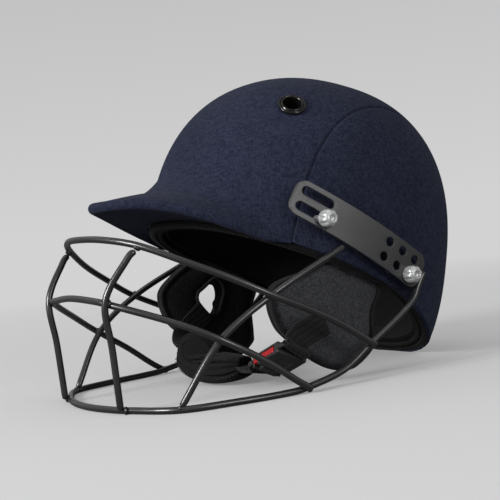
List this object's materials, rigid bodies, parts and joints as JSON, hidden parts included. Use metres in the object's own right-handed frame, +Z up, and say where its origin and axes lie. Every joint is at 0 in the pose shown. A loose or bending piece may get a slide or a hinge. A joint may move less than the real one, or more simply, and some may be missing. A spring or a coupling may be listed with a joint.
{
  "type": "batting helmet with face guard",
  "caption": "Cloth-covered hard-shell batting helmet with a peak, foam liner, padded ear flaps, chin strap and a sliding wire face guard.",
  "frame": {"origin": "middle of the base of the helmet's bounding box, on the surface that the guard's bottom bar and the nape stand on", "axes": "+Z up as the helmet stands; the wearer faces -Y; +X is the wearer's left"},
  "size_m": [0.2348, 0.325, 0.2301],
  "materials": {
    "shell_plastic": "matt moulded",
    "navy_cloth": "fine weave",
    "grey_felt": "felt",
    "liner_foam": "closed-cell foam",
    "black_padding": "knitted cloth over foam",
    "charcoal_padding": "heather cloth over foam",
    "black_webbing": "woven webbing",
    "buckle_plastic": "satin moulded",
    "red_plastic": "satin moulded",
    "coated_steel": "satin powder coat",
    "dark_metal": "satin",
    "zinc": "bright zinc"
  },
  "bodies": {
    "helmet": {"hard_shell": "shell_plastic", "front_cover": "navy_cloth", "side_cover_left": "navy_cloth", "side_cover_right": "navy_cloth", "peak_cover": "navy_cloth", "peak_core": "shell_plastic", "rim_trim": "grey_felt", "foam_liner": "liner_foam", "brow_pad": "black_padding", "crown_pad": "black_padding", "side_pad_left": "black_padding", "side_pad_right": "black_padding", "nape_pad": "black_padding", "vent_rings": "dark_metal", "ear_flap_left": "charcoal_padding", "ear_flap_right": "charcoal_padding", "strap_left": "black_webbing", "strap_right": "black_webbing", "buckle_socket": "buckle_plastic", "cup_webbing": "black_webbing", "chin_cup": "black_padding", "front_screws": "zinc", "front_washers": "zinc", "front_nuts": "zinc", "rear_inserts": "zinc"},
    "guard": {"top_bar": "coated_steel", "middle_bar": "coated_steel", "bottom_bar": "coated_steel", "upright_left": "coated_steel", "upright_right": "coated_steel", "stay_left": "coated_steel", "stay_right": "coated_steel", "side_plate_left": "coated_steel", "side_plate_right": "coated_steel", "rear_bolts": "zinc", "rear_washers": "zinc"},
    "tongue": {"buckle_tongue": "buckle_plastic"},
    "arm_front": {"release_arm_front": "red_plastic"},
    "arm_rear": {"release_arm_rear": "red_plastic"}
  },
  "joints": [
    {"name": "guard_slide", "type": "slide", "parent": "helmet", "child": "guard", "axis": [0, 0.8192, -0.5736], "range_m": [0, 0.0135]},
    {"name": "buckle_release", "type": "slide", "parent": "helmet", "child": "tongue", "axis": [-0.9003, -0.1874, -0.3928], "range_m": [0, 0.014], "deforming": ["cup_webbing"]},
    {"name": "front_arm_press", "type": "slide", "parent": "tongue", "child": "arm_front", "axis": [0, 0.9026, -0.4305], "range_m": [0, 0.002], "stiffness_N_per_m": 2000, "springref_m": -0.001},
    {"name": "rear_arm_press", "type": "slide", "parent": "tongue", "child": "arm_rear", "axis": [0, -0.9026, 0.4305], "range_m": [0, 0.002], "stiffness_N_per_m": 2000, "springref_m": -0.001}
  ]
}
